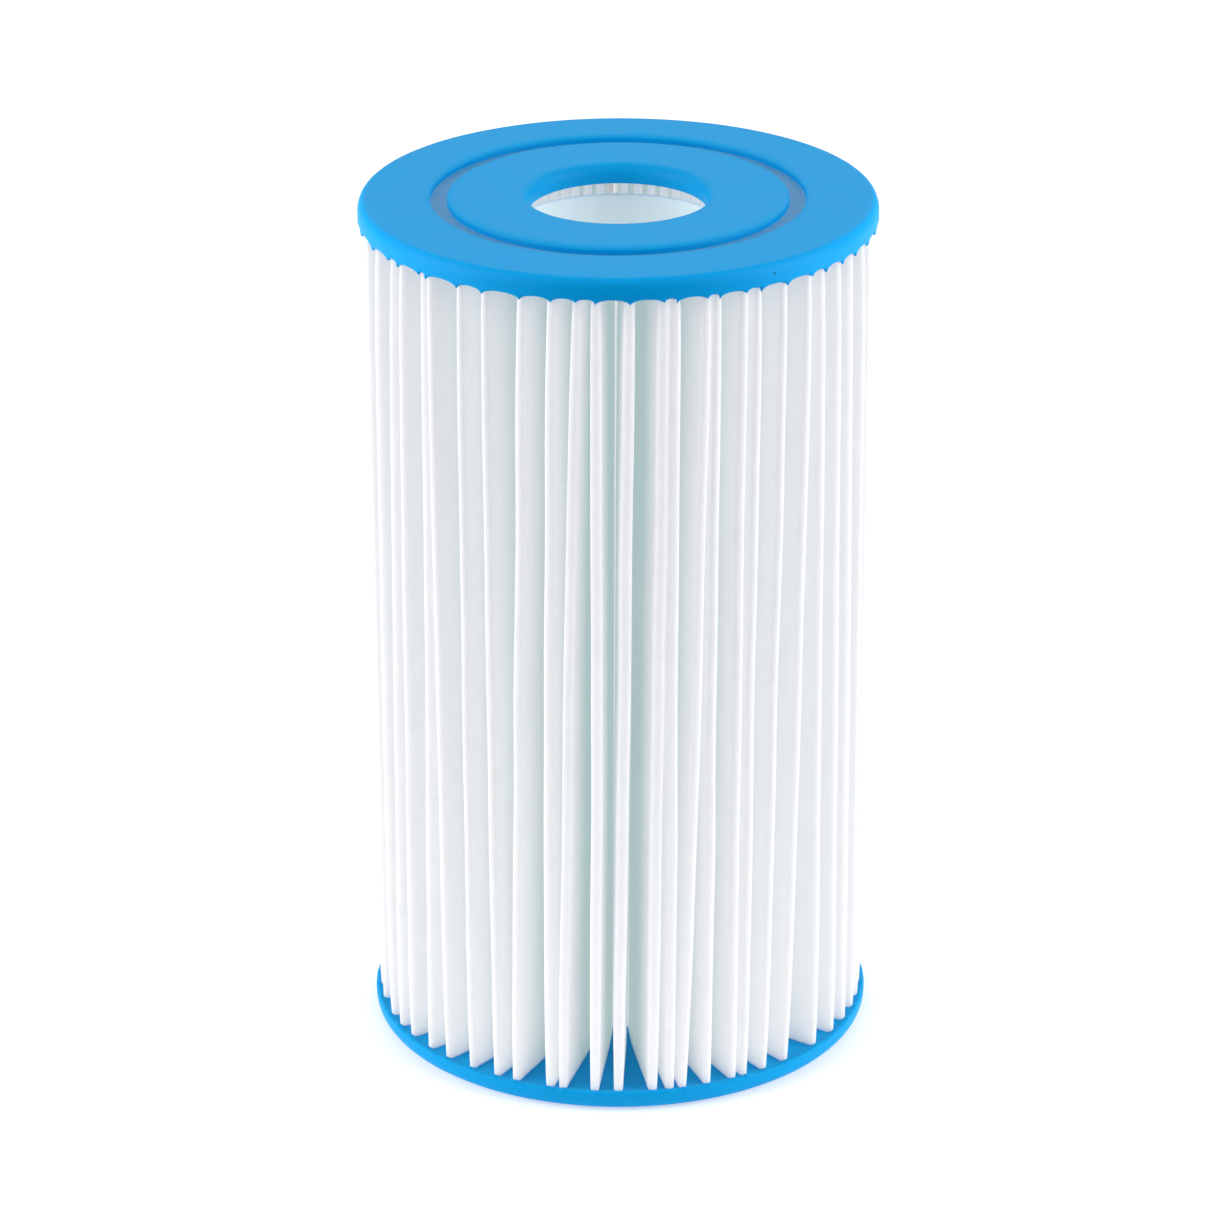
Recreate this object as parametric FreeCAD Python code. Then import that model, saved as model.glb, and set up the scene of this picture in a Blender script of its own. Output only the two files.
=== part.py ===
import FreeCAD, Part
import math
import os

# Pool and spa filter cartridge, in millimetres, standing on z = 0 with its bore along +Z.
# One sheet of spunbond polyester is folded into radial pleats and closed into a ring with a
# bead of hot-melt adhesive. The ring stands round a windowed core, and a soft polyurethane
# cap is cast on each end.

Vector = FreeCAD.Vector

# --- driving dimensions ---

height = 254.0                 # over both caps
cap_radius = 73.5
bore_radius = 25.0             # open bore through both caps
cap_thickness = 5.7            # from a cap's outer face to the face the pleats meet

# end caps
top_rim_depth = 6.9            # outer face to the edge of the rim round the pleat tips
bottom_rim_depth = 6.1
rim_wall = 1.2                 # rim that stands outside the pleat tips
rim_round = 2.2                # rounded outer corner of each cap
mouth_round = 3.0              # rounded mouth of the bore
groove_inner_radius = 48.1     # ring left by the mould's support for the pleats
groove_width = 3.9
groove_depth = 2.5
groove_round = 1.2             # eased outer edge of that ring
rim_facets = 3                 # cones that make up each rounded corner
mouth_facets = 3
groove_facets = 1

# pleated sheet
pleat_count = 56
media_thickness = 0.6
nose_width = 2.8               # across the outer fold
fold_width = 1.8               # across the inner fold
tip_clearance = 0.3            # outer folds to the rim
round_facets = 4               # flats round the outside of a fold
crease_facets = 2              # flats inside it
seam_angle = 93.8              # where the ends of the sheet meet, in degrees from +X
bead_depth = 1.3               # adhesive bead, measured along the radius

# core
core_wall = 1.5
core_setback = 5.0             # the bore's lip hides the core by this much
core_clearance = 0.3           # core to the inner folds
core_top_gap = 4.8             # the core stops this far below the top cap
core_seat_depth = 2.5          # the core stands this deep in the bottom cap
core_collar = 22.0             # plain tube at each end
window_columns = 8
window_rows = 4
rib_width = 7.0                # upright bar between two windows
hoop_height = 6.0              # hoop between two rows of windows

# --- sizes worked out from them ---

rim_inner_radius = cap_radius - rim_wall
groove_outer_radius = groove_inner_radius + groove_width
tip_radius = rim_inner_radius - tip_clearance
core_inner_radius = bore_radius + core_setback
core_outer_radius = core_inner_radius + core_wall
root_radius = core_outer_radius + core_clearance
seam_joint_radius = root_radius + bead_depth
pleat_pitch = 360.0 / pleat_count
media_bottom = cap_thickness
media_top = height - cap_thickness
core_bottom = cap_thickness - core_seat_depth
core_top = media_top - core_top_gap

ORIGIN = Vector(0, 0, 0)
X_AXIS = Vector(1, 0, 0)
Z_AXIS = Vector(0, 0, 1)


# --- helpers ---

def polar(radius, angle, side=0.0):
    """The point at radius on the ray at angle, moved side millimetres square to that ray."""
    a = math.radians(angle)
    x = radius * math.cos(a) - side * math.sin(a)
    y = radius * math.sin(a) + side * math.cos(a)
    return Vector(x, y, 0)


def closed_face(points):
    return Part.Face(Part.makePolygon(points + points[:1]))


def prism(points, bottom, top):
    """A prism between two heights on an outline drawn on z = 0."""
    face = closed_face(points)
    face.translate(Z_AXIS * bottom)
    return face.extrude(Z_AXIS * (top - bottom))


def turned(corners):
    """A solid of revolution about Z from (radius, z) corners."""
    face = closed_face([Vector(radius, 0, z) for radius, z in corners])
    return face.revolve(ORIGIN, Z_AXIS, 360)


def tube(inner_radius, outer_radius, bottom, top):
    return turned([
        (inner_radius, bottom),
        (outer_radius, bottom),
        (outer_radius, top),
        (inner_radius, top),
    ])


# --- end caps ---

def rounded_corner(radius, side, size, facets):
    """The (radius, z) points that round a corner at z = 0, from its wall on to the flat.

    side is 1 where the flat lies outside the wall and -1 where it lies inside.
    """
    centre_radius = radius + side * size
    points = []
    for step in range(facets + 1):
        turn = math.pi / 2 * step / facets
        points.append((centre_radius - side * size * math.cos(turn),
                       size - size * math.sin(turn)))
    return points


def end_cap(rim_depth):
    """A cast cap lying with its outer face on z = 0 and its pleat side upwards."""
    mouth = rounded_corner(bore_radius, 1, mouth_round, mouth_facets)
    groove_edge = rounded_corner(groove_outer_radius, 1, groove_round, groove_facets)
    rim_corner = rounded_corner(cap_radius, -1, rim_round, rim_facets)
    groove = [(groove_inner_radius, 0), (groove_inner_radius, groove_depth),
              (groove_outer_radius, groove_depth)]
    pleat_side = [(cap_radius, rim_depth), (rim_inner_radius, rim_depth),
                  (rim_inner_radius, cap_thickness), (bore_radius, cap_thickness)]
    return turned(mouth + groove + groove_edge + rim_corner[::-1] + pleat_side)


def bottom_end_cap():
    """The cap that the core is cast into."""
    core_seat = tube(core_inner_radius, core_outer_radius, core_bottom, cap_thickness)
    return end_cap(bottom_rim_depth).cut(core_seat)


def top_end_cap():
    cap = end_cap(top_rim_depth)
    cap.rotate(Vector(0, 0, height / 2), X_AXIS, 180)
    return cap


# --- pleated sheet ---

def half_circle(angle, centre_radius, outward, half_width, facets):
    """Points round half a circle that bulges away from the bore (1) or towards it (-1)."""
    points = []
    for step in range(facets + 1):
        turn = math.pi * step / facets
        radius = centre_radius + outward * half_width * math.sin(turn)
        points.append(polar(radius, angle, -half_width * math.cos(turn)))
    return points


def outer_fold(angle):
    """A pleat tip: points on the sheet's outer side, then on its inner side."""
    half_width = nose_width / 2
    centre = tip_radius - half_width
    return (half_circle(angle, centre, 1, half_width, round_facets),
            half_circle(angle, centre, 1, half_width - media_thickness, crease_facets))


def inner_fold(angle):
    """A pleat root: points on the sheet's outer side, then on its inner side."""
    half_width = fold_width / 2
    centre = root_radius + half_width
    return (half_circle(angle, centre, -1, half_width - media_thickness, crease_facets),
            half_circle(angle, centre, -1, half_width, round_facets))


def sheet_end(side):
    """The corners of the sheet's cut end on one side of the seam, outer side first."""
    half_width = fold_width / 2
    return ([polar(seam_joint_radius, seam_angle, side * (half_width - media_thickness))],
            [polar(seam_joint_radius, seam_angle, side * half_width)])


def pleated_media():
    """One sheet, folded at each half pitch from one side of the seam round to the other."""
    folds = [sheet_end(1)]
    for half_pitches in range(1, 2 * pleat_count):
        angle = seam_angle + half_pitches * pleat_pitch / 2
        folds.append(outer_fold(angle) if half_pitches % 2 else inner_fold(angle))
    folds.append(sheet_end(-1))
    outer_side = [point for fold in folds for point in fold[0]]
    inner_side = [point for fold in folds for point in fold[1]]
    return prism(outer_side + inner_side[::-1], media_bottom, media_top)


def seam_bead():
    """Adhesive that bridges the sheet's two cut ends, shaped like the inner folds."""
    half_width = fold_width / 2
    bead_round = half_circle(seam_angle, root_radius + half_width, -1, half_width, round_facets)
    left = polar(seam_joint_radius, seam_angle, -half_width)
    right = polar(seam_joint_radius, seam_angle, half_width)
    return prism([left] + bead_round + [right], media_bottom, media_top)


# --- core ---

def inner_core():
    """A tube with rows of windows between upright ribs, one of them behind the seam."""
    core = tube(core_inner_radius, core_outer_radius, core_bottom, core_top)
    window_width = 2 * math.pi * core_inner_radius / window_columns - rib_width
    windowed_height = core_top - core_bottom - 2 * core_collar
    window_height = (windowed_height - (window_rows - 1) * hoop_height) / window_rows
    windows = []
    for row in range(window_rows):
        sill = core_bottom + core_collar + row * (window_height + hoop_height)
        for column in range(window_columns):
            corner = Vector(0, -window_width / 2, sill)
            window = Part.makeBox(core_outer_radius + core_wall, window_width, window_height, corner)
            window.rotate(ORIGIN, Z_AXIS, seam_angle + (column + 0.5) * 360.0 / window_columns)
            windows.append(window)
    return core.cut(windows)


shapes = {
    "bottom_end_cap": bottom_end_cap(),
    "top_end_cap": top_end_cap(),
    "pleated_media": pleated_media(),
    "seam_bead": seam_bead(),
    "inner_core": inner_core(),
}

os.makedirs("parts", exist_ok=True)
for node, shape in shapes.items():
    shape.exportStep("parts/" + node + ".step")
    print(node, len(shape.Solids), "solid,", len(shape.Faces), "faces,", round(shape.Volume), "mm3")
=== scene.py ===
import math
import random

import bpy
from bpy.props import FloatProperty, FloatVectorProperty, IntProperty, PointerProperty
from bpy.types import Operator, Panel, PropertyGroup
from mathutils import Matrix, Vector, noise


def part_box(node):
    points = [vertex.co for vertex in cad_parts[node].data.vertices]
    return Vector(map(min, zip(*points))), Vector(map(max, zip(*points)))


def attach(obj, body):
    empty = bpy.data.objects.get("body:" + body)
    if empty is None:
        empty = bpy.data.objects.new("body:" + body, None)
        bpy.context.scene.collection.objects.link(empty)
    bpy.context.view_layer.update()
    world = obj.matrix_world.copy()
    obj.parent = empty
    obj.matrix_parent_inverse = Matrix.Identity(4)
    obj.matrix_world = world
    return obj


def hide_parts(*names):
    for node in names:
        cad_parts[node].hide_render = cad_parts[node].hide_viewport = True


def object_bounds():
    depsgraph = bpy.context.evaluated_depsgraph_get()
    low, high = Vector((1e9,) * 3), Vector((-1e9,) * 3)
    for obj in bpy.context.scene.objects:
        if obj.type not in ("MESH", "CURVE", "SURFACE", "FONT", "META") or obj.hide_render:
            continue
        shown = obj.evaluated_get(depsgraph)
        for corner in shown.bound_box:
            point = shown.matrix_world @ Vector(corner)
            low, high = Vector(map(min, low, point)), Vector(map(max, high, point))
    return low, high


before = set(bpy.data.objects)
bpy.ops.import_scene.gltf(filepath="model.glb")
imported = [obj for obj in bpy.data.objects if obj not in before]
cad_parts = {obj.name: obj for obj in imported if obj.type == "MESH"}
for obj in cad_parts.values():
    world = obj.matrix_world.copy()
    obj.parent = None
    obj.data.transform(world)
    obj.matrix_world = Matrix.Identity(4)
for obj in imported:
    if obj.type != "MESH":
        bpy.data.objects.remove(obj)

bl_info = {
    "name": "Pleated Filter Cartridge",
    "version": (1, 0, 0),
    "blender": (4, 5, 0),
    "location": "3D View > Sidebar > Cartridge",
    "description": "Builds the visible pieces of a pleated pool and spa filter cartridge",
    "category": "Add Mesh",
}

MM = 0.001
CAD_BOX = [list(corner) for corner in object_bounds()]
HEIGHT = CAD_BOX[1][2]
PLEAT_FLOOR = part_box("pleated_media")[0][2]
PLEAT_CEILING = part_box("pleated_media")[1][2]
CORE_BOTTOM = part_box("inner_core")[0][2]
CORE_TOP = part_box("inner_core")[1][2]

# Where each pleat tip at the front meets the bottom cap, and how far it leans by the top cap,
# in degrees round from the front. The folds are gathered by hand, so they stand unevenly.
FRONT_PLEATS = (
    (-79.5, 1.0), (-70.5, 2.0), (-64.5, 4.5), (-58.5, 2.5), (-51.0, 3.0), (-44.5, -1.5),
    (-37.0, 0.0), (-30.0, -0.5), (-25.0, 3.5), (-16.5, 2.0), (-13.5, 4.5), (-6.0, 1.0),
    (-0.5, 3.0), (7.5, 2.5), (11.5, 1.0), (14.5, 5.0), (20.5, 1.5), (27.0, 1.5),
    (30.0, 2.0), (35.5, 3.5), (42.0, 4.5), (52.5, -1.5), (60.5, -3.0), (67.5, -4.0),
    (74.0, -3.0), (80.0, -1.5),
)


# --- colour ---

def linear(hex_colour):
    """An sRGB hex colour as linear red, green, blue and alpha."""
    channels = [int(hex_colour[i:i + 2], 16) / 255 for i in (1, 3, 5)]
    return [c / 12.92 if c <= 0.04045 else ((c + 0.055) / 1.055) ** 2.4 for c in channels] + [1.0]


# --- settings ---

def length(name, description, millimetres):
    """A setting in metres whose default is given in millimetres."""
    return FloatProperty(name=name, description=description, default=millimetres * MM,
                         unit="LENGTH", precision=5)


def colour(name, description, hex_colour):
    """A linear colour setting whose default is given as sRGB hex."""
    return FloatVectorProperty(name=name, description=description, subtype="COLOR", size=4,
                               min=0.0, max=1.0, default=linear(hex_colour))


class CapSettings(PropertyGroup):
    radius: length("Radius", "Outside radius of both caps", 73.5)
    bore: length("Bore", "Radius of the bore", 25.0)
    mouth: length("Mouth", "Rounding of the bore's mouth", 3.4)
    groove: length("Groove", "Inner radius of the ring groove", 48.2)
    groove_width: length("Groove width", "Width of the ring groove", 4.8)
    groove_depth: length("Groove depth", "Depth of the ring groove", 2.5)
    edge_width: length("Edge width", "Width of the soft rounding on both of the groove's edges", 3.6)
    edge_drop: length("Edge drop", "Depth of that rounding", 1.1)
    rim_round: length("Rim rounding", "Width of the rounding of the cap's outer corner", 2.4)
    rim_fall: length("Rim fall", "Height of that rounding", 3.6)
    rim_lip: length("Rim lip", "Rounding of the rim's edge on the pleats", 0.8)
    shoulder: length("Shoulder", "How far the outer ring falls away towards the rim", 0.5)
    top_rim: length("Top rim", "Depth of the top cap's rim between two pleats", 6.6)
    bottom_rim: length("Bottom rim", "Depth of the bottom cap's rim between two pleats", 6.05)
    top_wick: length("Top wicking", "How far the top cap runs down each pleat tip", 1.5)
    bottom_wick: length("Bottom wicking", "How far the bottom cap climbs each pleat tip", 0.45)
    unevenness: length("Unevenness", "Height of the casting's slow waves", 0.05)
    tint: colour("Polyurethane", "Colour of the cast polyurethane", "#02A0E3")
    # painted light and shade: the purer blue that the rim is painted in, standing in for the saturated
    # blue that the lighting gives the rim
    skin: colour("Mould skin", "Colour of the polyurethane where it set against the mould", "#00A5EF")
    # painted shade: the grey blue that the groove floor is painted in, standing in for the shade in the
    # groove
    painted_groove_shade: colour("Film", "Colour where the casting is a thin film over the pleat ends", "#6BA6CF")


class PleatSettings(PropertyGroup):
    tip: length("Tip radius", "Radius of the outer folds at the caps", 72.0)
    root: length("Root radius", "Radius of the inner folds", 31.9)
    thickness: length("Thickness", "Thickness of the sheet", 0.55)
    nose: length("Nose width", "Usual width across an outer fold", 2.9)
    fold: length("Fold width", "Width across an inner fold", 1.8)
    bulge: length("Bulge", "How far the tips stand out between the caps", 0.6)
    belly: length("Belly", "Usual bow of a pleat's side", 0.35)
    embed: length("Embedded", "Depth of the sheet's edges in each cap", 0.6)
    seam: FloatProperty(name="Seam", description="Where the sheet's ends meet, round from the front",
                        default=math.radians(183.8), subtype="ANGLE")
    hidden: IntProperty(name="Hidden pleats", description="Pleats each side of the seam", default=15)
    seed: IntProperty(name="Seed", description="Start of the random unevenness", default=7)
    tint: colour("Polyester", "Colour of the spunbond polyester", "#EDEDEE")
    glow: FloatProperty(name="Scattered light", description="Light scattered inside the web",
                        default=0.40)


class CoreSettings(PropertyGroup):
    wall: length("Wall", "Thickness of the core's wall", 1.5)
    collar: length("Collar", "Plain tube at each end", 22.0)
    rib: length("Rib", "Width of an upright rib", 7.0)
    hoop: length("Hoop", "Height of a hoop between two rows", 6.0)
    columns: IntProperty(name="Columns", description="Windows round the core", default=8)
    rows: IntProperty(name="Rows", description="Windows up the core", default=4)
    tint: colour("Polypropylene", "Colour of the natural polypropylene", "#DCE6E8")
    glow: FloatProperty(name="Scattered light", description="Light scattered inside the wall",
                        default=0.26)
    bead: colour("Adhesive", "Colour of the hot-melt bead", "#F1E6DA")


class StageSettings(PropertyGroup):
    lens: FloatProperty(name="Lens", description="Focal length in millimetres", default=140.6)
    distance: length("Distance", "Camera to the cartridge's axis, level", 1273.0)
    eye: length("Eye height", "Camera above the floor", 672.0)
    tilt: FloatProperty(name="Tilt", description="How far the camera looks down",
                        default=math.radians(23.18), subtype="ANGLE")
    roll: FloatProperty(name="Roll", description="Roll of the camera",
                        default=math.radians(-0.145), subtype="ANGLE")
    shift: FloatProperty(name="Shift", description="Sideways shift of the lens", default=-0.0101)
    side: FloatProperty(name="Side light", description="Power of each side softbox in watts",
                        default=20.5)
    top: FloatProperty(name="Top light", description="Power of the overhead softbox in watts",
                       default=2.8)
    back: FloatProperty(name="Back light", description="Power of the softbox over the far paper",
                        default=16.0)
    world: FloatProperty(name="World", description="Strength of the white surroundings", default=0.33)
    paper: colour("Paper", "Colour of the paper sweep", "#D4D4D4")
    paper_glow: FloatProperty(name="Paper glow", description="Light from under the paper",
                              default=0.46)


# --- meshes ---

def around(radius, angle, z):
    """The point at this radius and height, angle degrees round from the front."""
    a = math.radians(angle)
    return Vector((radius * math.sin(a), -radius * math.cos(a), z))


def smooth_object(name, points, faces):
    """A smooth-shaded mesh object in the scene."""
    mesh = bpy.data.meshes.new(name)
    mesh.from_pydata(points, [], faces)
    mesh.validate()
    mesh.shade_smooth()
    piece = bpy.data.objects.new(name, mesh)
    bpy.context.scene.collection.objects.link(piece)
    return piece


def grid_faces(rows, columns, wrap_rows=False, wrap_columns=False):
    """Quads of a grid whose points are stored row after row."""
    faces = []
    for row in range(rows if wrap_rows else rows - 1):
        for column in range(columns if wrap_columns else columns - 1):
            right = (column + 1) % columns
            above = (row + 1) % rows
            faces.append((row * columns + column, row * columns + right,
                          above * columns + right, above * columns + column))
    return faces


def made_solid(piece, *modifiers):
    """The piece with these modifiers, given as (type, settings), put into its mesh."""
    for kind, settings in modifiers:
        modifier = piece.modifiers.new(kind.title(), kind)
        for setting, value in settings.items():
            setattr(modifier, setting, value)
    evaluated = piece.evaluated_get(bpy.context.evaluated_depsgraph_get())
    mesh = bpy.data.meshes.new_from_object(evaluated)
    piece.modifiers.clear()
    old_mesh = piece.data
    piece.data = mesh
    mesh.name = old_mesh.name
    bpy.data.meshes.remove(old_mesh)
    return piece


def place(piece, material, node):
    """Gives the piece its material, hangs it on the root body and hides the CAD node that it stands
    for.
    """
    piece.data.materials.clear()
    piece.data.materials.append(material)
    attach(piece, "root")
    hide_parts(node)


# --- pleat layout, which the sheet and both caps share ---

def pleat_tips(settings):
    """(bottom, top) angle of every tip, in order from one side of the seam to the other."""
    rng = random.Random(settings.seed)
    seam = math.degrees(settings.seam)
    first = FRONT_PLEATS[0][0] + 360
    last = FRONT_PLEATS[-1][0] + 360
    left_gap = (first - seam) / (settings.hidden + 0.5)
    right_gap = (seam + 360 - last) / (settings.hidden + 0.5)
    left = [seam + (i + 0.5) * left_gap for i in range(settings.hidden)]
    right = [last + (i + 1) * right_gap for i in range(settings.hidden)]
    tips = strayed(left, rng)
    tips += [(angle + 360, lean) for angle, lean in FRONT_PLEATS]
    tips += strayed(right, rng)
    return [(angle, angle + lean) for angle, lean in tips]


def strayed(angles, rng):
    """(angle, lean) of tips that stand almost evenly, each a little off its place."""
    stray = 1.2
    lean = 2.5
    return [(angle + rng.uniform(-stray, stray), rng.uniform(-lean, lean)) for angle in angles]


def rooted(tips, seam):
    """The roots' angles: each midway between two tips, then evened out with its neighbours."""
    middles = [seam] + [(a + b) / 2 for a, b in zip(tips, tips[1:])] + [seam + 360]
    inner = [(a + 2 * b + c) / 4 for a, b, c in zip(middles, middles[1:], middles[2:])]
    return [middles[0]] + inner + [middles[-1]]


# --- end caps ---

def bend(centre_radius, centre_depth, size, start, end, steps, height=None):
    """(radius, depth) points along an arc, both angles in degrees, 90 pointing away from the face."""
    points = []
    for step in range(steps + 1):
        turn = math.radians(start + (end - start) * step / steps)
        points.append((centre_radius + size * math.cos(turn),
                       centre_depth + (height or size) * math.sin(turn)))
    return points


def run(start, end, steps):
    """Points between two (radius, depth) points, leaving both out."""
    return [(start[0] + (end[0] - start[0]) * i / steps, start[1] + (end[1] - start[1]) * i / steps)
            for i in range(1, steps)]


def cap_profile(caps, rim_depth):
    """The closed outline of a cap, from the pleat side of the bore over the outer face and back."""
    lip = 0.4 * MM
    rim_wall = 2.6 * MM
    shoulder_steps = 12
    thickness = PLEAT_FLOOR
    groove_outer = caps.groove + caps.groove_width
    shoulder_start = groove_outer + caps.edge_width
    corner = caps.radius - caps.rim_round
    profile = bend(caps.bore + lip, thickness - lip, lip, 90, 180, 3)
    profile += run(profile[-1], (caps.bore, caps.mouth), 3)
    profile += bend(caps.bore + caps.mouth, caps.mouth, caps.mouth, 180, 270, 9)
    profile += run(profile[-1], (caps.groove - caps.edge_width, 0), 10)
    profile += bend(caps.groove - caps.edge_width, caps.edge_drop, caps.edge_width, 270, 360, 10,
                    caps.edge_drop)
    profile += bend(caps.groove + lip, caps.groove_depth - lip, lip, 180, 90, 3)
    profile += run(profile[-1], (groove_outer - lip, caps.groove_depth), 3)
    profile += bend(groove_outer - lip, caps.groove_depth - lip, lip, 90, 0, 3)
    profile += bend(shoulder_start, caps.edge_drop, caps.edge_width, 180, 270, 10, caps.edge_drop)
    for step in range(1, shoulder_steps + 1):
        share = step / shoulder_steps
        profile.append((shoulder_start + (corner - shoulder_start) * share,
                        caps.shoulder * share ** 1.4))
    profile += bend(corner, caps.rim_fall + caps.shoulder, caps.rim_round, 276, 360, 10, caps.rim_fall)
    profile += run(profile[-1], (caps.radius, rim_depth - caps.rim_lip), 3)
    profile += bend(caps.radius - caps.rim_lip, rim_depth - caps.rim_lip, caps.rim_lip, 0, 90, 6)
    floor_edge = (caps.radius - rim_wall, thickness)
    profile += run((caps.radius - caps.rim_lip, rim_depth), floor_edge, 4)
    profile.append(floor_edge)
    profile += run(floor_edge, profile[0], 12)
    return profile


def wicked_edge(share, gap, wick):
    """How far the cast edge runs past its usual level, at a share of the way between two tips.

    It runs furthest on the tips. Tips closer than a full gap, in degrees, hold it back.
    """
    full_gap = 6.0
    arch = (1 - abs(2 * share - 1) ** 2.4) ** 0.6
    return wick * min(1.0, gap / full_gap) * (1 - arch)


def end_cap(name, caps, tips, rim, wick, upside_down):
    """One cast cap as a turned mesh whose columns crowd to the pleat tips."""
    steps = 12
    crowding = 0.06
    columns = []
    for here, after in zip(tips, tips[1:] + [tips[0] + 360]):
        for step in range(steps):
            share = step / steps
            share = share - crowding * math.sin(4 * math.pi * share)
            edge = rim + wicked_edge(share, after - here, wick)
            columns.append((here + (after - here) * share, share, cap_profile(caps, edge)))
    points = []
    painted_groove_shade = []
    groove_middle = caps.groove + caps.groove_width / 2
    groove_floor = 1.9 * MM
    tip_share = 0.22
    for row in range(len(columns[0][2])):
        for angle, share, profile in columns:
            radius, depth = profile[row]
            spot = around(radius, angle, 0)
            # slow waves in the casting, about 22 mm long with 7 mm ones on them
            wave = noise.noise(spot / (22 * MM)) + 0.5 * noise.noise(spot / (7 * MM))
            depth += caps.unevenness * (1 + wave) * (1 if depth < PLEAT_FLOOR / 2 else 0)
            z = HEIGHT - depth if upside_down else depth
            points.append(around(radius, angle, z))
            in_groove = abs(radius - groove_middle) < caps.groove_width / 2 and depth > groove_floor
            # painted shade: the groove's floor is painted a grey blue, standing in for the shade in the
            # groove, more strongly near each pleat tip
            over_pleat = 0.95 if min(share, 1 - share) < tip_share else 0.7
            painted_groove_shade.append(over_pleat if in_groove and depth < PLEAT_FLOOR * 0.7 else 0.0)
    faces = grid_faces(len(columns[0][2]), len(columns), True, True)
    if not upside_down:
        faces = [face[::-1] for face in faces]
    cap = smooth_object(name, points, faces)
    cap.data.attributes.new("painted_groove_shade", "FLOAT", "POINT").data.foreach_set("value", painted_groove_shade)
    return cap


# --- pleated sheet ---

def half_turn(centre, outward, across, half_width, steps):
    """Points round a fold, from its left to its right as seen looking outward."""
    points = []
    for step in range(steps + 1):
        turn = math.pi * step / steps
        points.append(centre + outward * half_width * math.sin(turn)
                      - across * half_width * math.cos(turn))
    return points


def side_of_pleat(start, start_way, end, end_way, bow, steps):
    """Points along a pleat's side, leaving both ends out, with a bow square to it."""
    reach = (end - start).length
    points = []
    for step in range(1, steps):
        t = step / steps
        point = (start * (2 * t ** 3 - 3 * t ** 2 + 1) + start_way * reach * (t ** 3 - 2 * t ** 2 + t)
                 + end * (3 * t ** 2 - 2 * t ** 3) + end_way * reach * (t ** 3 - t ** 2))
        points.append(point + bow * math.sin(math.pi * t))
    return points


class Pleat:
    """One pleat's own unevenness, drawn once.

    It holds how far the fold drifts at mid height in degrees, how wide it is, how far out it
    reaches, how much each of its two sides bellies, and where its sway starts in the noise.
    """

    def __init__(self, angles, settings, rng):
        self.bottom, self.top = angles
        self.drift = rng.uniform(-0.45, 0.45)
        self.width = settings.nose * rng.uniform(0.86, 1.16)
        self.reach = rng.uniform(-0.35, 0.35) * MM
        self.bellies = [settings.belly * rng.uniform(-0.5, 1.4) for _ in range(2)]
        self.phase = rng.uniform(0, 60)

    def angle(self, share):
        sway = noise.noise(Vector((self.phase, share * 5, 0))) * 0.35
        return (self.bottom + (self.top - self.bottom) * share
                + (self.drift + sway) * math.sin(math.pi * share))


def sheet_path(settings, pleats, share, freedom):
    """The sheet's middle line at one height. freedom is 0 at a cap and 1 well away from it."""
    skin = settings.thickness / 2
    seam = math.degrees(settings.seam)
    tips = [pleat.angle(share) for pleat in pleats]
    roots = rooted(tips, seam)
    fold_half = settings.fold / 2 - skin
    root_radius = settings.root + skin + fold_half
    # the strip's two cut ends stop just short of a full fold and meet in the bead
    end_radius = root_radius + 0.4 * MM
    start = around(end_radius, seam, 0) + around(1, seam + 90, 0) * fold_half
    path = [start]
    way_in = around(1, seam, 0)
    for k, pleat in enumerate(pleats):
        before = tips[k - 1] if k else tips[-1] - 360
        after = tips[k + 1] if k + 1 < len(tips) else tips[0] + 360
        tip_radius = settings.tip + (settings.bulge + pleat.reach) * freedom - skin
        room = math.radians(min(tips[k] - before, after - tips[k])) * tip_radius
        # the cap grips a fold narrower than it is in the open, and two folds never quite touch
        width = pleat.width * (0.78 + 0.22 * freedom)
        nose_half = min(width / 2, 0.485 * room) - skin
        tip = around(tip_radius, tips[k], 0)
        axis = (tip - around(root_radius, (roots[k] + roots[k + 1]) / 2, 0)).normalized()
        across = Vector((-axis.y, axis.x, 0))
        nose = half_turn(tip - axis * nose_half, axis, across, nose_half, 8)
        bows = [across * belly * freedom for belly in pleat.bellies]
        path += side_of_pleat(path[-1], way_in, nose[0], axis, -bows[0], 6)
        path += nose
        way_out = around(1, roots[k + 1], 0)
        if k + 1 < len(pleats):
            fold = half_turn(around(root_radius, roots[k + 1], 0), -way_out,
                             around(1, roots[k + 1] + 90, 0), fold_half, 6)
        else:
            fold = [around(end_radius, seam, 0) - around(1, seam + 90, 0) * fold_half]
        path += side_of_pleat(nose[-1], -axis, fold[0], -way_out, bows[1], 6)
        path += fold
        way_in = way_out
    return path


def pleated_sheet(settings, rows=33):
    """The folded sheet, and the length that it was cut to. Its rows crowd towards the caps."""
    grip = 14 * MM
    rng = random.Random(settings.seed + 1)
    pleats = [Pleat(angles, settings, rng) for angles in pleat_tips(settings)]
    bottom = PLEAT_FLOOR - settings.embed
    top = PLEAT_CEILING + settings.embed
    points = []
    cut_length = 0.0
    for row in range(rows):
        share = 0.5 - 0.5 * math.cos(math.pi * row / (rows - 1))
        z = bottom + (top - bottom) * share
        to_cap = max(0.0, min(z - PLEAT_FLOOR, PLEAT_CEILING - z))
        freedom = 1 - math.exp(-to_cap / grip)
        path = sheet_path(settings, pleats, share, freedom)
        if row == rows // 2:
            cut_length = sum((b - a).length for a, b in zip(path, path[1:]))
        points += [point + Vector((0, 0, z)) for point in path]
    sheet = smooth_object("pleated_sheet", points, grid_faces(rows, len(points) // rows))
    return made_solid(sheet, ("SOLIDIFY", {"thickness": settings.thickness, "offset": 0.0})), cut_length


# --- seam bead and core ---

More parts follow.
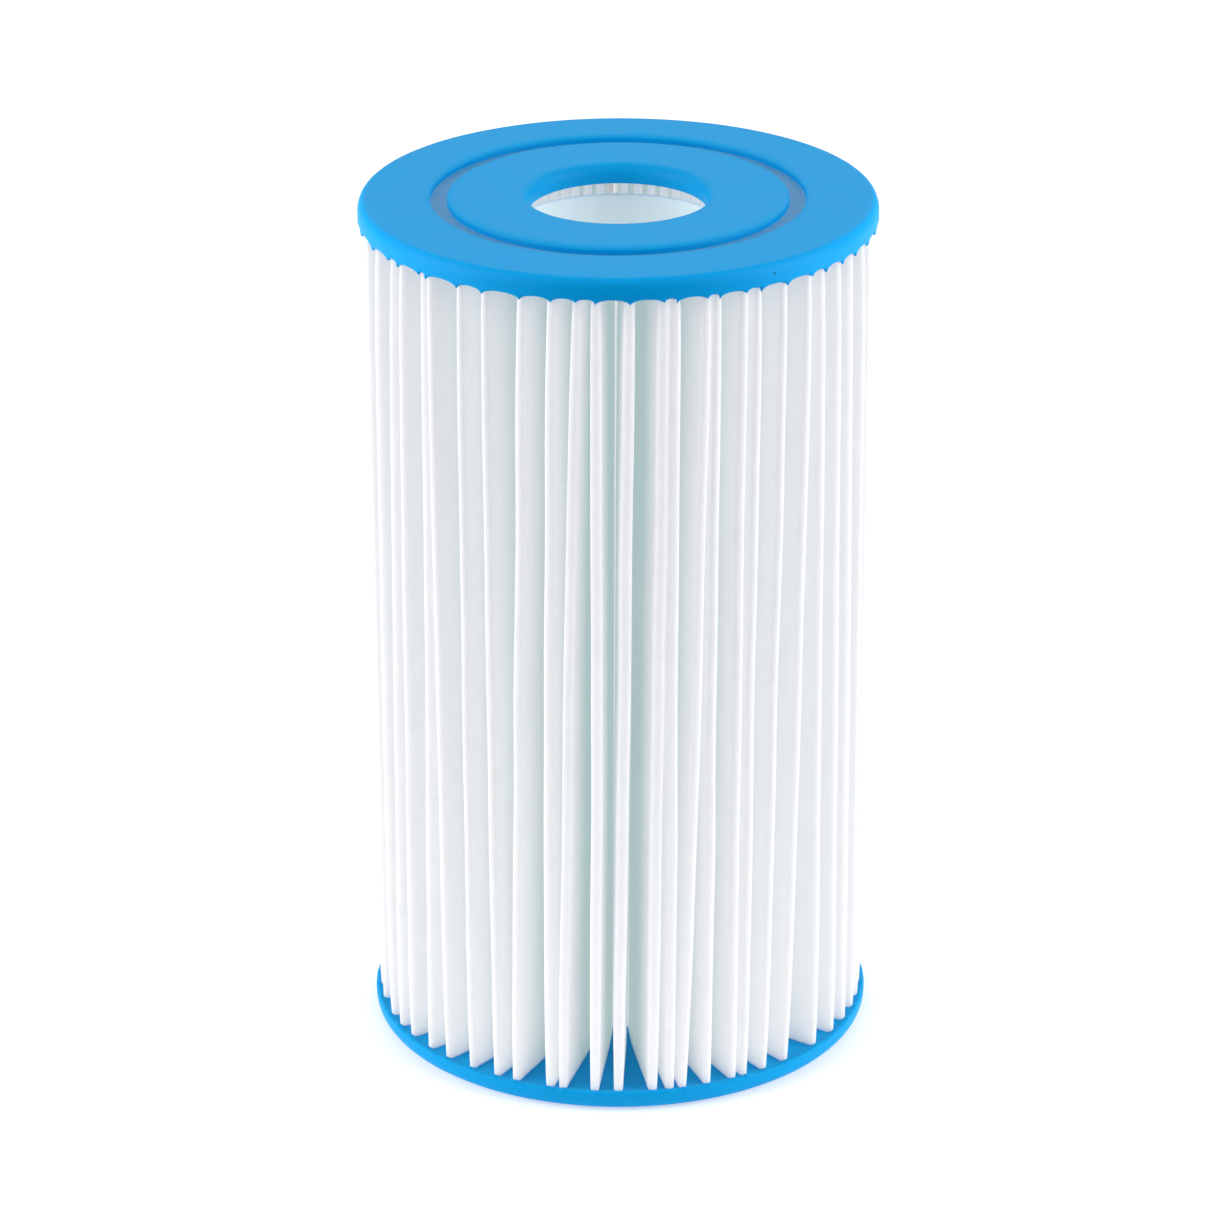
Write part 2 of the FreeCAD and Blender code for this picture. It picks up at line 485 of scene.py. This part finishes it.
def seam_bead(settings):
    """A bead of adhesive laid by hand, so it is a little uneven."""
    rows = 70
    steps = 8
    foot = 0.5 * MM
    seam = math.degrees(settings.seam)
    outward = around(1, seam, 0)
    across = around(1, seam + 90, 0)
    points = []
    for row in range(rows):
        z = PLEAT_FLOOR + (PLEAT_CEILING - PLEAT_FLOOR) * row / (rows - 1)
        half_width = settings.fold / 2 * (1 + 0.12 * noise.noise(Vector((3, 9, z / (6 * MM)))))
        centre = outward * (settings.root + half_width)
        section = half_turn(centre, -outward, across, half_width, steps)
        section += [centre + outward * foot + across * half_width,
                    centre + outward * foot - across * half_width]
        points += [point + Vector((0, 0, z)) for point in section]
    columns = steps + 3
    faces = grid_faces(rows, columns, wrap_columns=True)
    faces += [tuple(range(columns))[::-1], tuple(range((rows - 1) * columns, rows * columns))]
    return smooth_object("seam_bead_strip", points, faces)


def split(marks, finest):
    """The marks with even steps of at most finest put between them."""
    values = [marks[0]]
    for low, high in zip(marks, marks[1:]):
        steps = max(1, math.ceil((high - low) / finest))
        values += [low + (high - low) * i / steps for i in range(1, steps + 1)]
    return values


def core_tube(core, seam):
    """The core's inner face with its windows left out, thickened outwards and softly edged."""
    inner_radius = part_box("inner_core")[1][1] - core.wall
    column_angle = 360 / core.columns
    half_rib = math.degrees(core.rib / 2 / inner_radius)
    finest_turn = 4
    finest_rise = 6 * MM
    angles = []
    for column in range(core.columns):
        middle = seam + column * column_angle
        angles += split([middle - half_rib, middle + half_rib], finest_turn)
        angles += split([middle + half_rib, middle + column_angle - half_rib], finest_turn)[1:-1]
    windowed = CORE_TOP - CORE_BOTTOM - 2 * core.collar
    window_height = (windowed - (core.rows - 1) * core.hoop) / core.rows
    marks = [CORE_BOTTOM, CORE_BOTTOM + core.collar]
    for row in range(core.rows):
        marks.append(marks[-1] + window_height)
        marks.append(marks[-1] + (core.hoop if row < core.rows - 1 else core.collar))
    heights = split(marks, finest_rise)
    points = [around(inner_radius, angle, z) for z in heights for angle in angles]
    faces = []
    for face in grid_faces(len(heights), len(angles), wrap_columns=True):
        middle = sum((points[i] for i in face), Vector()) / 4
        angle = math.degrees(math.atan2(middle.x, -middle.y)) - seam
        from_rib = abs((angle + column_angle / 2) % column_angle - column_angle / 2)
        up = (middle.z - CORE_BOTTOM - core.collar) % (window_height + core.hoop)
        plain = not CORE_BOTTOM + core.collar < middle.z < CORE_TOP - core.collar
        if plain or from_rib < half_rib or up > window_height:
            faces.append(face)
    tube = smooth_object("core_tube", points, faces)
    return made_solid(
        tube,
        ("SOLIDIFY", {"thickness": core.wall, "offset": 1.0, "use_even_offset": True}),
        ("BEVEL", {"width": 0.3 * MM, "segments": 2, "limit_method": "ANGLE",
                   "angle_limit": math.radians(50), "harden_normals": True}),
    )


# --- materials ---

def add_node(tree, kind, settings=None, links=None):
    """Adds a node with these property or socket values and these links to its inputs."""
    node = tree.nodes.new(kind)
    for name, value in (settings or {}).items():
        if isinstance(name, int) or name in node.inputs:
            node.inputs[name].default_value = value
        else:
            setattr(node, name, value)
    for name, source in (links or {}).items():
        tree.links.new(source, node.inputs[name])
    return node


def empty_material(name):
    material = bpy.data.materials.new(name)
    material.use_nodes = True
    material.node_tree.nodes.clear()
    return material, material.node_tree


def output(tree, shader):
    add_node(tree, "ShaderNodeOutputMaterial", links={"Surface": shader.outputs[0]})


def per_metre(millimetres):
    """The texture scale whose features are this many millimetres across."""
    return 1 / (millimetres * MM)


def from_axis(tree, place_at, start, end):
    """A value that goes from 0 to 1 between two distances from the cartridge's axis."""
    across = add_node(tree, "ShaderNodeVectorMath", {"operation": "MULTIPLY", 1: (1, 1, 0)},
                      {0: place_at})
    radius = add_node(tree, "ShaderNodeVectorMath", {"operation": "LENGTH"}, {0: across.outputs[0]})
    ramp = add_node(tree, "ShaderNodeMapRange", {"From Min": start, "From Max": end},
                    {"Value": radius.outputs["Value"]})
    return ramp.outputs[0]


def cast_polyurethane(caps):
    """Soft polyurethane poured into an open mould: a satin skin, slow mottling and a few pinholes; the
    pinholes and the groove floor carry painted shade, the rim painted light and shade.
    """
    material, tree = empty_material("Cast polyurethane")
    place_at = add_node(tree, "ShaderNodeTexCoord").outputs["Object"]
    mottle = add_node(tree, "ShaderNodeTexNoise",
                      {"Scale": per_metre(9), "Detail": 4.0, "Roughness": 0.6}, {"Vector": place_at})
    deep = [c * 0.90 for c in caps.tint[:3]] + [1]
    skin = add_node(tree, "ShaderNodeMixRGB", {"Color1": deep, "Color2": caps.tint},
                    {"Fac": mottle.outputs["Fac"]})
    # painted light and shade: the rim is painted a purer blue than the open face, most of all
    # on the top cap, standing in for the deeper, more saturated blue that the lighting gives it
    wall = from_axis(tree, place_at, caps.radius - 2.4 * MM, caps.radius - 0.9 * MM)
    height = add_node(tree, "ShaderNodeSeparateXYZ", links={0: place_at}).outputs["Z"]
    upper = add_node(tree, "ShaderNodeMapRange",
                     {"From Min": PLEAT_FLOOR, "From Max": PLEAT_CEILING}, {"Value": height})
    painted_rim_light = add_node(tree, "ShaderNodeMath", {"operation": "MULTIPLY"},
                      {0: wall, 1: upper.outputs[0]})
    sides = add_node(tree, "ShaderNodeMixRGB", {"Color2": caps.skin},
                     {"Fac": painted_rim_light.outputs[0], "Color1": skin.outputs[0]})
    # painted shade in the groove: the grey blue is mixed in where the cap's mesh marks the groove floor
    painted_groove_shade = add_node(tree, "ShaderNodeAttribute", {"attribute_name": "painted_groove_shade"})
    groove_shaded = add_node(tree, "ShaderNodeMixRGB", {"Color2": caps.painted_groove_shade},
                      {"Fac": painted_groove_shade.outputs["Fac"], "Color1": sides.outputs[0]})
    # pinholes: burst bubbles up to 1 mm across, one cell in a few showing at the surface; each is
    # painted a darker blue, painted shade in the pit, and sunk by the bump
    bubbles = add_node(tree, "ShaderNodeTexVoronoi", {"Scale": per_metre(12)}, {"Vector": place_at})
    hole = add_node(tree, "ShaderNodeMapRange",
                    {"From Min": 0.028, "From Max": 0.042, "To Min": 1.0, "To Max": 0.0},
                    {"Value": bubbles.outputs["Distance"]})
    pit_shaded = add_node(tree, "ShaderNodeMixRGB", {"Color2": linear("#0A6FA8")},
                      {"Fac": hole.outputs[0], "Color1": groove_shaded.outputs[0]})
    grain = add_node(tree, "ShaderNodeTexNoise",
                     {"Scale": per_metre(0.9), "Detail": 3.0}, {"Vector": place_at})
    relief = add_node(tree, "ShaderNodeMath", {"operation": "MULTIPLY_ADD", 1: -1.5},
                      {0: hole.outputs[0], 2: grain.outputs["Fac"]})
    bump = add_node(tree, "ShaderNodeBump", {"Strength": 0.25, "Distance": 0.06 * MM},
                    {"Height": relief.outputs[0]})
    rough = add_node(tree, "ShaderNodeMapRange", {"To Min": 0.42, "To Max": 0.52},
                     {"Value": mottle.outputs["Fac"]})
    shader = add_node(
        tree, "ShaderNodeBsdfPrincipled",
        {"IOR": 1.5, "Specular IOR Level": 0.08, "Subsurface Weight": 0.12,
         "Subsurface Scale": 1.5 * MM, "Subsurface Radius": (0.1, 0.6, 1.0)},
        {"Base Color": pit_shaded.outputs[0], "Roughness": rough.outputs[0], "Normal": bump.outputs[0]})
    output(tree, shader)
    return material


def spunbond_polyester(pleats, caps):
    """Nonwoven sheet of continuous filaments: matt, cloudy, with blue wicked into its edges."""
    material, tree = empty_material("Spunbond polyester")
    place_at = add_node(tree, "ShaderNodeTexCoord").outputs["Object"]
    cloud = add_node(tree, "ShaderNodeTexNoise",
                     {"Scale": per_metre(5), "Detail": 5.0, "Roughness": 0.65}, {"Vector": place_at})
    # filaments lie mostly along the sheet; drawn 0.4 mm wide, coarser than real, so they show
    stretched = add_node(tree, "ShaderNodeMapping", {"Scale": (1.0, 1.0, 0.22)}, {"Vector": place_at})
    filament = add_node(tree, "ShaderNodeTexNoise",
                        {"Scale": per_metre(0.5), "Detail": 4.0, "Distortion": 0.6},
                        {"Vector": stretched.outputs[0]})
    thin = [c * 0.93 for c in pleats.tint[:3]] + [1]
    cloth = add_node(tree, "ShaderNodeMixRGB", {"Color1": thin, "Color2": pleats.tint},
                     {"Fac": cloud.outputs["Fac"]})
    height = add_node(tree, "ShaderNodeSeparateXYZ", links={"Vector": place_at})
    stain = wicked_stain(tree, height.outputs["Z"], cloud.outputs["Fac"])
    stained = add_node(tree, "ShaderNodeMixRGB", {"Color2": caps.tint},
                       {"Fac": stain, "Color1": cloth.outputs[0]})
    # stands in for the many scatterings inside the web that a render cuts short; they fade and
    # turn teal down in the folds, where the light has already crossed other pleats and the caps
    open_side = add_node(tree, "ShaderNodeMath", {"operation": "MAXIMUM"},
                         {0: from_axis(tree, place_at, 55 * MM, 72 * MM),
                          1: from_axis(tree, place_at, 36 * MM, 33 * MM)})
    glow = add_node(tree, "ShaderNodeMixRGB",
                    {"Color1": linear("#B5CDCB"), "Color2": linear("#FCFDFF")},
                    {"Fac": open_side.outputs[0]})
    relief = add_node(tree, "ShaderNodeMath", {"operation": "MULTIPLY_ADD", 1: 2.0},
                      {0: cloud.outputs["Fac"], 2: filament.outputs["Fac"]})
    bump = add_node(tree, "ShaderNodeBump", {"Strength": 0.35, "Distance": 0.12 * MM},
                    {"Height": relief.outputs[0]})
    face = add_node(
        tree, "ShaderNodeBsdfPrincipled",
        {"Roughness": 0.85, "IOR": 1.45, "Specular IOR Level": 0.2, "Emission Strength": pleats.glow},
        {"Base Color": stained.outputs[0], "Normal": bump.outputs[0],
         "Emission Color": glow.outputs[0]})
    # light also soaks through the open web, which is what keeps the deep folds pale
    through = add_node(tree, "ShaderNodeBsdfTranslucent", links={"Color": stained.outputs[0]})
    shader = add_node(tree, "ShaderNodeMixShader", {0: 0.55},
                      {1: face.outputs[0], 2: through.outputs[0]})
    output(tree, shader)
    return material


def wicked_stain(tree, height, cloud):
    """How blue the sheet is, from 0 to 1: only in its last fraction of a millimetre at each cap."""
    middle = (PLEAT_FLOOR + PLEAT_CEILING) / 2
    from_middle = add_node(tree, "ShaderNodeMath", {"operation": "SUBTRACT", 1: middle}, {0: height})
    distance = add_node(tree, "ShaderNodeMath", {"operation": "ABSOLUTE"},
                        {0: from_middle.outputs[0]})
    ragged = add_node(tree, "ShaderNodeMath", {"operation": "MULTIPLY_ADD", 1: 1.4 * MM},
                      {0: cloud, 2: distance.outputs[0]})
    edge = PLEAT_CEILING - middle
    stain = add_node(tree, "ShaderNodeMapRange",
                     {"From Min": edge + 0.1 * MM, "From Max": edge + 0.9 * MM},
                     {"Value": ragged.outputs[0]})
    return stain.outputs[0]


def natural_polypropylene(core):
    """Injection-moulded polypropylene without pigment: milky, smooth and slightly see-through."""
    material, tree = empty_material("Natural polypropylene")
    place_at = add_node(tree, "ShaderNodeTexCoord").outputs["Object"]
    # flow lines from the mould run up the tube
    stretched = add_node(tree, "ShaderNodeMapping", {"Scale": (1.0, 1.0, 0.04)}, {"Vector": place_at})
    flow = add_node(tree, "ShaderNodeTexNoise",
                    {"Scale": per_metre(4), "Detail": 3.0}, {"Vector": stretched.outputs[0]})
    milk = [c * 0.92 for c in core.tint[:3]] + [1]
    body = add_node(tree, "ShaderNodeMixRGB", {"Color1": milk, "Color2": core.tint},
                    {"Fac": flow.outputs["Fac"]})
    rough = add_node(tree, "ShaderNodeMapRange", {"To Min": 0.32, "To Max": 0.5},
                     {"Value": flow.outputs["Fac"]})
    bump = add_node(tree, "ShaderNodeBump", {"Strength": 0.12, "Distance": 0.1 * MM},
                    {"Height": flow.outputs["Fac"]})
    shader = add_node(
        tree, "ShaderNodeBsdfPrincipled",
        {"IOR": 1.49, "Subsurface Weight": 0.4, "Subsurface Scale": 3 * MM,
         "Subsurface Radius": (1.0, 1.0, 1.0), "Emission Strength": core.glow},
        {"Base Color": body.outputs[0], "Roughness": rough.outputs[0], "Normal": bump.outputs[0],
         "Emission Color": body.outputs[0]})
    output(tree, shader)
    return material


def hot_melt_adhesive(core):
    """Set hot-melt adhesive: waxy cream, smooth where it flowed."""
    material, tree = empty_material("Hot-melt adhesive")
    place_at = add_node(tree, "ShaderNodeTexCoord").outputs["Object"]
    lumps = add_node(tree, "ShaderNodeTexNoise",
                     {"Scale": per_metre(2.5), "Detail": 3.0}, {"Vector": place_at})
    dull = [c * 0.88 for c in core.bead[:3]] + [1]
    body = add_node(tree, "ShaderNodeMixRGB", {"Color1": dull, "Color2": core.bead},
                    {"Fac": lumps.outputs["Fac"]})
    bump = add_node(tree, "ShaderNodeBump", {"Strength": 0.3, "Distance": 0.15 * MM},
                    {"Height": lumps.outputs["Fac"]})
    shader = add_node(
        tree, "ShaderNodeBsdfPrincipled",
        {"IOR": 1.5, "Roughness": 0.4, "Subsurface Weight": 0.3, "Subsurface Scale": 1 * MM,
         "Emission Strength": core.glow},
        {"Base Color": body.outputs[0], "Normal": bump.outputs[0], "Emission Color": body.outputs[0]})
    output(tree, shader)
    return material


def paper_sweep(stage):
    """White studio paper: matt, with a faint tooth."""
    material, tree = empty_material("Studio paper")
    tooth = add_node(tree, "ShaderNodeTexNoise", {"Scale": per_metre(2), "Detail": 2.0},
                     {"Vector": add_node(tree, "ShaderNodeTexCoord").outputs["Object"]})
    bump = add_node(tree, "ShaderNodeBump", {"Strength": 0.05, "Distance": 0.05 * MM},
                    {"Height": tooth.outputs["Fac"]})
    shader = add_node(tree, "ShaderNodeBsdfPrincipled",
                      {"Base Color": stage.paper, "Roughness": 0.9, "Specular IOR Level": 0.1,
                       "Emission Color": (1, 1, 1, 1), "Emission Strength": stage.paper_glow},
                      {"Normal": bump.outputs[0]})
    output(tree, shader)
    return material


# --- operators ---

class CARTRIDGE_OT_end_caps(Operator):
    """Cast the two polyurethane end caps"""
    bl_idname = "cartridge.end_caps"
    bl_label = "End Caps"

    def execute(self, context):
        caps = context.scene.cartridge_caps
        tips = pleat_tips(context.scene.cartridge_pleats)
        material = cast_polyurethane(caps)
        bottom = end_cap("bottom_cap", caps, [tip[0] for tip in tips],
                         caps.bottom_rim, caps.bottom_wick, False)
        place(bottom, material, "bottom_end_cap")
        top = end_cap("top_cap", caps, [tip[1] for tip in tips],
                      caps.top_rim, caps.top_wick, True)
        place(top, material, "top_end_cap")
        return {"FINISHED"}


class CARTRIDGE_OT_pleated_sheet(Operator):
    """Fold the filter sheet and lay the bead that joins its ends"""
    bl_idname = "cartridge.pleated_sheet"
    bl_label = "Pleated Sheet"

    def execute(self, context):
        pleats = context.scene.cartridge_pleats
        bead = seam_bead(pleats)
        place(bead, hot_melt_adhesive(context.scene.cartridge_core), "seam_bead")
        sheet, cut_length = pleated_sheet(pleats)
        place(sheet, spunbond_polyester(pleats, context.scene.cartridge_caps),
              "pleated_media")
        return {"FINISHED"}


class CARTRIDGE_OT_core(Operator):
    """Mould the windowed core"""
    bl_idname = "cartridge.core"
    bl_label = "Core"

    def execute(self, context):
        core = context.scene.cartridge_core
        tube = core_tube(core, math.degrees(context.scene.cartridge_pleats.seam))
        place(tube, natural_polypropylene(core), "inner_core")
        return {"FINISHED"}


class CARTRIDGE_OT_stage(Operator):
    """Set up the paper, the soft lights and the camera"""
    bl_idname = "cartridge.stage"
    bl_label = "Stage"

    def execute(self, context):
        stage = context.scene.cartridge_stage
        paper(stage)
        softbox("left_softbox", (-1.3, -0.3, 0.6), (1.2, 1.4), stage.side)
        softbox("right_softbox", (1.3, -0.3, 0.6), (1.2, 1.4), stage.side)
        softbox("top_softbox", (0.0, 0.2, 1.7), (1.8, 1.4), stage.top)
        softbox("back_softbox", (0.0, 1.9, 1.3), (3.0, 1.0), stage.back, (0.0, 1.4, 0.0))
        black_flag()
        surroundings(context.scene, stage)
        camera(context.scene, stage)
        return {"FINISHED"}


def paper(stage):
    """A flat sheet of studio paper, wide enough to fill the view."""
    half = 6.0
    corners = [(-half, -half, 0), (half, -half, 0), (half, half, 0), (-half, half, 0)]
    floor = smooth_object("paper_floor", corners, [(0, 1, 2, 3)])
    floor.data.materials.append(paper_sweep(stage))


def black_flag():
    """Black cloth round the camera, which keeps the front of the cartridge deep in colour."""
    half = 2.0
    near = -0.3
    far = -1.6
    low = 1 * MM
    high = 1.1
    corners = [(-half, near, low), (half, near, low), (half, far, low), (-half, far, low),
               (half, far, high), (-half, far, high)]
    flag = smooth_object("black_flag", corners, [(0, 3, 2, 1), (3, 5, 4, 2)])
    material, tree = empty_material("Black velvet")
    output(tree, add_node(tree, "ShaderNodeBsdfDiffuse", {"Color": linear("#101010")}))
    flag.data.materials.append(material)
    flag.visible_camera = False
    flag.visible_shadow = False


def softbox(name, place_at, size, power, aim_at=(0.0, 0.0, HEIGHT / 2)):
    """An area light that faces the middle of the cartridge, or another point."""
    light = bpy.data.lights.new(name, "AREA")
    light.shape = "RECTANGLE"
    light.size, light.size_y = size
    light.energy = power
    holder = bpy.data.objects.new(name, light)
    holder.location = place_at
    aim = Vector(aim_at) - holder.location
    holder.rotation_euler = aim.to_track_quat("-Z", "Y").to_euler()
    bpy.context.scene.collection.objects.link(holder)


def surroundings(scene, stage):
    world = bpy.data.worlds.new("White studio")
    world.use_nodes = True
    world.node_tree.nodes.clear()
    sky = add_node(world.node_tree, "ShaderNodeBackground",
                   {"Color": (1, 1, 1, 1), "Strength": stage.world})
    add_node(world.node_tree, "ShaderNodeOutputWorld", links={"Surface": sky.outputs[0]})
    scene.world = world
    scene.view_settings.view_transform = "Standard"


def camera(scene, stage):
    data = bpy.data.cameras.new("view")
    data.lens = stage.lens
    data.sensor_width = 36
    data.shift_x = stage.shift
    data.clip_start = 0.05
    holder = bpy.data.objects.new("view", data)
    holder.location = (0, -stage.distance, stage.eye)
    holder.rotation_mode = "ZXY"
    holder.rotation_euler = (math.pi / 2 - stage.tilt, 0, stage.roll)
    scene.collection.objects.link(holder)
    scene.camera = holder


# --- sidebar and registration ---

BUILDERS = (CARTRIDGE_OT_end_caps, CARTRIDGE_OT_pleated_sheet, CARTRIDGE_OT_core, CARTRIDGE_OT_stage)
SETTINGS = {
    "cartridge_caps": CapSettings,
    "cartridge_pleats": PleatSettings,
    "cartridge_core": CoreSettings,
    "cartridge_stage": StageSettings,
}


class CARTRIDGE_PT_sidebar(Panel):
    """Lists the builders and their settings"""
    bl_idname = "CARTRIDGE_PT_sidebar"
    bl_label = "Filter Cartridge"
    bl_space_type = "VIEW_3D"
    bl_region_type = "UI"
    bl_category = "Cartridge"

    def draw(self, context):
        for builder in BUILDERS:
            self.layout.operator(builder.bl_idname)
        for name, group in SETTINGS.items():
            box = self.layout.box()
            for setting in group.__annotations__:
                box.prop(getattr(context.scene, name), setting)


def register():
    for group in SETTINGS.values():
        bpy.utils.register_class(group)
    for name, group in SETTINGS.items():
        setattr(bpy.types.Scene, name, PointerProperty(type=group))
    for builder in BUILDERS:
        bpy.utils.register_class(builder)
    bpy.utils.register_class(CARTRIDGE_PT_sidebar)


def unregister():
    bpy.utils.unregister_class(CARTRIDGE_PT_sidebar)
    for builder in reversed(BUILDERS):
        bpy.utils.unregister_class(builder)
    for name in SETTINGS:
        delattr(bpy.types.Scene, name)
    for group in reversed(SETTINGS.values()):
        bpy.utils.unregister_class(group)


def main():
    register()
    bpy.ops.cartridge.end_caps()
    bpy.ops.cartridge.pleated_sheet()
    bpy.ops.cartridge.core()
    bpy.ops.cartridge.stage()


if __name__ == "__main__":
    main()
